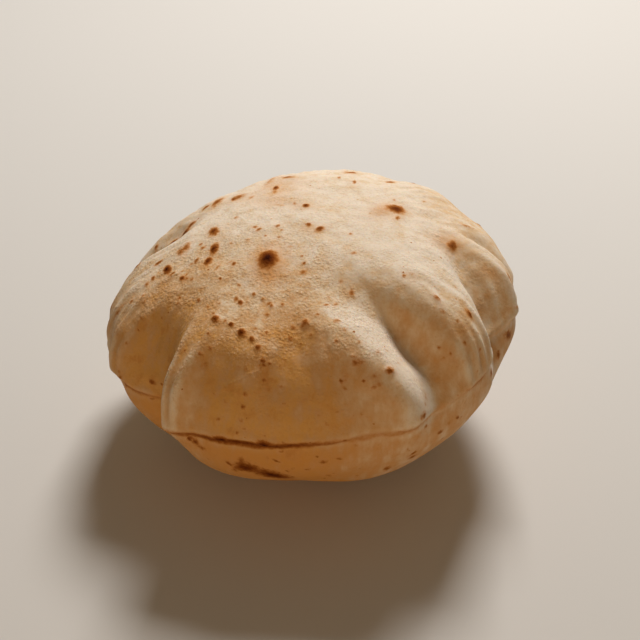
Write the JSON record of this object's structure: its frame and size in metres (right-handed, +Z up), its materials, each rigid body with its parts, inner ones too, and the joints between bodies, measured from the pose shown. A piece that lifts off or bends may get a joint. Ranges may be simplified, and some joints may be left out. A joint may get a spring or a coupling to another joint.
{
  "type": "puffed flatbread",
  "caption": "Round flatbread puffed up like a balloon, its two skins meeting in a pleated seam, resting on a small flat spot.",
  "frame": {"origin": "middle of the bread's box on the surface it rests on", "axes": "+Z up, +X towards the raised right side as seen from the front, -Y towards the front"},
  "size_m": [0.1794, 0.178, 0.107],
  "materials": {
    "crust": "matte"
  },
  "bodies": {
    "root": {"flatbread": "crust"}
  },
  "joints": []
}
